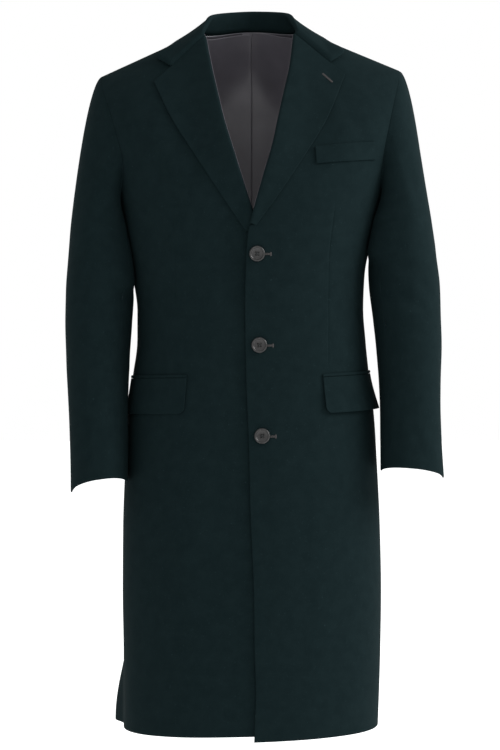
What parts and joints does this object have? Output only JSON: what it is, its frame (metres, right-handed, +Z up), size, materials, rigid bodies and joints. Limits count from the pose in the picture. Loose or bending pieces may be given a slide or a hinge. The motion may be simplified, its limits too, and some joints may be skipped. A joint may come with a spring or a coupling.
{
  "type": "single-breasted topcoat, filled out as worn",
  "caption": "Knee-length single-breasted wool topcoat with notched lapels, flap pockets and breast welt, filled out as worn and hollow, with open neck, hem and cuffs.",
  "frame": {"origin": "between the shoulders, in the middle of the neck opening, where the wearer's shoulders hold the coat up", "axes": "+Z up, from hem to collar; -Y is the way the wearer faces; the wearer's left is at +X"},
  "size_m": [0.5885, 0.3078, 1.1365],
  "materials": {
    "wool": "fine matte wool in a very dark green-teal",
    "lining": "smooth satin lining, warm dark purple-grey",
    "button": "dark grey horn-like, satin polished"
  },
  "bodies": {
    "root": {"front_left": "wool", "front_right": "wool", "back_left": "wool", "back_right": "wool", "lapel_left": "wool", "lapel_right": "wool", "collar": "wool", "top_sleeve_left": "wool", "top_sleeve_right": "wool", "under_sleeve_left": "wool", "under_sleeve_right": "wool", "pocket_flap_left": "wool", "pocket_flap_right": "wool", "pocket_jet_left": "wool", "pocket_jet_right": "wool", "breast_welt": "wool", "back_lining": "lining", "button_top": "button", "button_middle": "button", "button_bottom": "button"}
  },
  "joints": []
}
